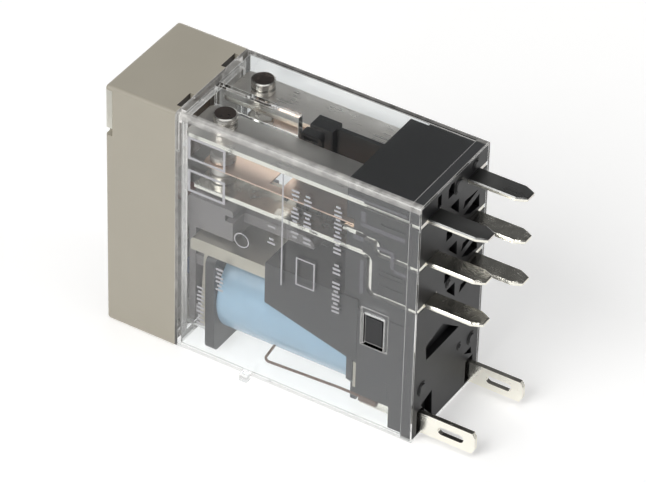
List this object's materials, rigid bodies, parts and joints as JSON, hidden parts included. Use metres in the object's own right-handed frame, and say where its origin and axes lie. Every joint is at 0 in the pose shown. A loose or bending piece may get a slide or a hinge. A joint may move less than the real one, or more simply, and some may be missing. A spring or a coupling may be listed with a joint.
{
  "type": "plug-in relay",
  "caption": "Slim clear-cased plug-in relay with a hinged armature, twin changeover contact springs, flat contact blades and slotted coil blades.",
  "frame": {"origin": "on the narrow coil-side face the relay lies on, half way along the case between the cap's end face and the seating face, on the width centre line", "axes": "+X from the cap towards the blades, +Y across the thickness, +Z from the coil up to the contact sets"},
  "size_m": [0.0419, 0.0139, 0.029],
  "materials": {
    "case_clear": "clear polycarbonate, gloss",
    "cap_plastic": "smoke-beige moulded plastic, gloss",
    "lens_clear": "frosted clear plastic",
    "label_blank": "blank matt plate",
    "button_blue": "satin",
    "spring_steel": "drawn spring wire",
    "board": "solder-masked laminate",
    "led_body": "moulded, gloss",
    "resistor_body": "glazed",
    "diode_body": "moulded, gloss",
    "lead_tinned": "tinned wire",
    "moulding_black": "glass-filled, fine matt",
    "blade_plated": "bright nickel-plated strip",
    "strip_plated": "grey tarnished plated strip",
    "contact_silver": "turned silver alloy",
    "spring_copper": "rolled copper-alloy strip",
    "iron_plated": "dull nickel-plated iron",
    "bobbin_black": "moulded, satin",
    "winding_copper": "enamelled copper wire",
    "tape_blue": "polyester tape, gloss",
    "wire_dark": "enamel, satin",
    "holder_white": "natural moulded plastic, satin",
    "flag_orange": "moulded, satin"
  },
  "bodies": {
    "relay_frame": {"clear_case": "case_clear", "top_cap": "cap_plastic", "indicator_lens": "lens_clear", "nameplate": "label_blank", "indicator_board": "board", "led": "led_body", "resistor": "resistor_body", "diode": "diode_body", "indicator_lead_front": "lead_tinned", "indicator_lead_rear": "lead_tinned", "contact_block": "moulding_black", "terminal_base": "moulding_black", "core": "iron_plated", "yoke": "iron_plated", "bobbin": "bobbin_black", "winding": "winding_copper", "coil_tape": "tape_blue", "no_terminal_front": "strip_plated", "com_terminal_front": "blade_plated", "nc_terminal_front": "blade_plated", "coil_terminal_front": "blade_plated", "no_contact_front": "contact_silver", "nc_contact_front": "contact_silver", "coil_lead_front": "wire_dark", "no_terminal_rear": "strip_plated", "com_terminal_rear": "blade_plated", "nc_terminal_rear": "blade_plated", "coil_terminal_rear": "blade_plated", "no_contact_rear": "contact_silver", "nc_contact_rear": "contact_silver", "coil_lead_rear": "wire_dark"},
    "armature_unit": {"armature": "iron_plated", "armature_holder": "holder_white", "hinge_spring": "spring_steel", "indicator_flag": "flag_orange"},
    "lift_card": {"card": "moulding_black"},
    "contact_arm_front": {"moving_spring_front": "spring_copper", "moving_contact_front": "contact_silver"},
    "contact_arm_rear": {"moving_spring_rear": "spring_copper", "moving_contact_rear": "contact_silver"},
    "push_button": {"test_button": "button_blue", "button_spring": "spring_steel"}
  },
  "joints": [
    {"name": "armature_hinge", "type": "hinge", "parent": "relay_frame", "child": "armature_unit", "pos_m": [-0.0071, 0, 0.01185], "axis": [0, -1, 0], "range_deg": [0, 3.2], "stiffness_Nm_per_rad": 0.005, "springref_deg": -2.86},
    {"name": "card_lift", "type": "slide", "parent": "relay_frame", "child": "lift_card", "axis": [0, 0, 1], "range_m": [0, 0.000503]},
    {"name": "contact_arm_front_hinge", "type": "hinge", "parent": "relay_frame", "child": "contact_arm_front", "pos_m": [0.01, -0.0032, 0.02315], "axis": [0, 1, 0], "range_deg": [0, 3.56]},
    {"name": "contact_arm_rear_hinge", "type": "hinge", "parent": "relay_frame", "child": "contact_arm_rear", "pos_m": [0.01, 0.0032, 0.02315], "axis": [0, 1, 0], "range_deg": [0, 3.56]},
    {"name": "button_push", "type": "slide", "parent": "relay_frame", "child": "push_button", "axis": [1, 0, 0], "range_m": [0, 0.0008], "stiffness_N_per_m": 200, "springref_m": -0.001}
  ],
  "couplings": [
    {"joint": "card_lift", "follows": "armature_hinge", "m_per_rad": 0.009},
    {"joint": "contact_arm_front_hinge", "follows": "armature_hinge", "ratio": 1.1125},
    {"joint": "contact_arm_rear_hinge", "follows": "armature_hinge", "ratio": 1.1125}
  ]
}
